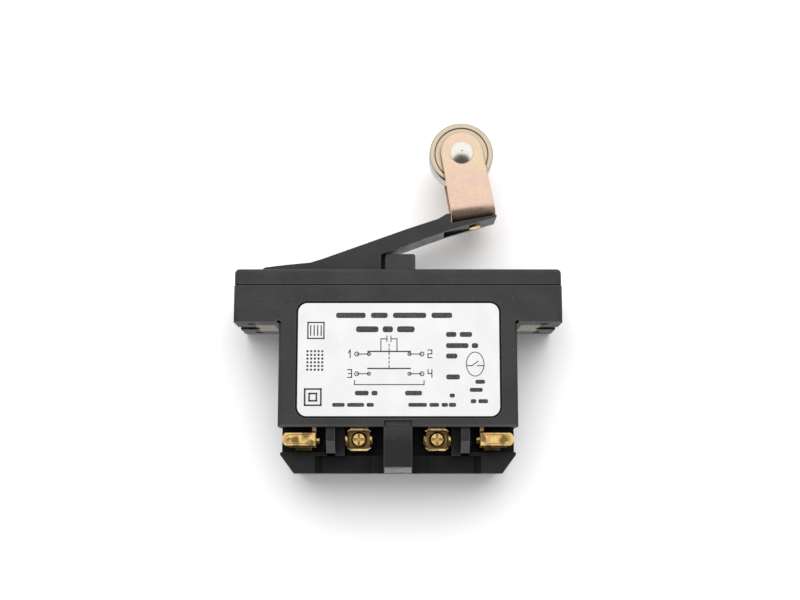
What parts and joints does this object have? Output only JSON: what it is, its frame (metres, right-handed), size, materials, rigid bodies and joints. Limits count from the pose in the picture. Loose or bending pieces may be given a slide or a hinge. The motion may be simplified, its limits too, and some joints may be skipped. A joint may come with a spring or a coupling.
{
  "type": "limit switch",
  "caption": "Flange-mounted snap limit switch with a one-way roller lever, spring-returned plunger, contact block and front and side screw terminals.",
  "frame": {"origin": "middle of the mounting flange's seat, between the two mounting slots and halfway through the depth", "axes": "+X along the flange, towards the lever's roller; -Y out of the label; +Z from the terminals to the plunger and roller"},
  "size_m": [0.0822, 0.0254, 0.0916],
  "materials": {
    "moulded_black": "satin",
    "lever_black": "satin",
    "label_white": "satin",
    "gasket_rubber": "matte",
    "yellow_zinc": "satin",
    "bright_steel": "polished",
    "brass_screw": "polished",
    "copper_strap": "satin",
    "contact_silver": "polished",
    "sintered_bronze": "matte",
    "carrier_phenolic": "matte"
  },
  "bodies": {
    "body": {"housing": "moulded_black", "rear_plate": "moulded_black", "rear_rivets": "bright_steel", "top_cover": "moulded_black", "cover_gasket": "gasket_rubber", "cover_screws": "bright_steel", "label": "label_white", "mounting_inserts": "brass_screw", "lever_pivot_pin": "bright_steel", "plunger_seal": "gasket_rubber", "terminal_screws": "brass_screw", "wire_clamps": "brass_screw", "strap_nc_left": "copper_strap", "strap_nc_right": "copper_strap", "strap_no_left": "copper_strap", "strap_no_right": "copper_strap", "fixed_contacts": "contact_silver", "return_spring": "bright_steel"},
    "lever": {"lever": "lever_black", "roller_bracket": "yellow_zinc", "bracket_rivet": "brass_screw", "roller_pin": "bright_steel"},
    "roller": {"roller": "yellow_zinc", "roller_bushing": "sintered_bronze"},
    "plunger": {"plunger": "moulded_black"},
    "contact_carrier": {"contact_carrier": "carrier_phenolic", "upper_bridge": "copper_strap", "lower_bridge": "copper_strap", "bridge_contacts": "contact_silver", "overtravel_spring": "bright_steel"}
  },
  "joints": [
    {"name": "lever_hinge", "type": "hinge", "parent": "body", "child": "lever", "pos_m": [-0.031, 0, 0.0114], "axis": [0, 1, 0], "range_deg": [0, 5.5], "stiffness_Nm_per_rad": 0.8, "springref_deg": -3.44},
    {"name": "roller_spin", "type": "hinge", "parent": "lever", "child": "roller", "pos_m": [0.01666, 0, 0.04585], "axis": [0, 1, 0], "continuous": true},
    {"name": "plunger_slide", "type": "slide", "parent": "body", "child": "plunger", "axis": [0, 0, -1], "range_m": [0, 0.0029], "deforming": ["overtravel_spring"]},
    {"name": "contact_slide", "type": "slide", "parent": "body", "child": "contact_carrier", "axis": [0, 0, -1], "range_m": [0, 0.00125], "deforming": ["return_spring"]}
  ],
  "couplings": [
    {"joint": "plunger_slide", "follows": "lever_hinge", "m_per_rad": 0.0292},
    {"joint": "contact_slide", "follows": "lever_hinge", "m_per_rad": 0.0125}
  ]
}
